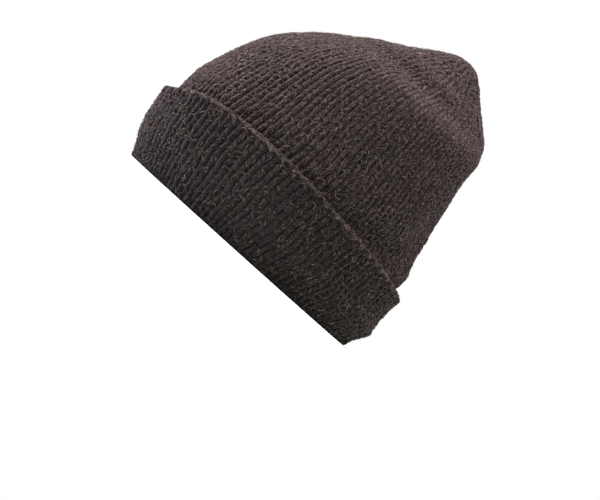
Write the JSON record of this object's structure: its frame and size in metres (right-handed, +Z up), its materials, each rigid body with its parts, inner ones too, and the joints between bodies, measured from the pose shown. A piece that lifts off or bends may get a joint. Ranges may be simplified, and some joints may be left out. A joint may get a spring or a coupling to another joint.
{
  "type": "cuffed beanie",
  "caption": "Knitted wool beanie with a high crown that closes at a soft peak leaning to the back, and a deep turned-up cuff.",
  "frame": {"origin": "middle of the hat's footprint on the surface that it rests on, under the fold of the cuff", "axes": "+Z up towards the peak, -Y towards the face, +X towards the wearer's left"},
  "size_m": [0.1772, 0.2097, 0.196],
  "materials": {
    "crown_knit": "dark brown heather wool, plain knitting in thick upright wales",
    "cuff_knit": "dark brown heather wool, knitted, turned up"
  },
  "bodies": {
    "root": {"crown": "crown_knit", "cuff": "cuff_knit"}
  },
  "joints": []
}
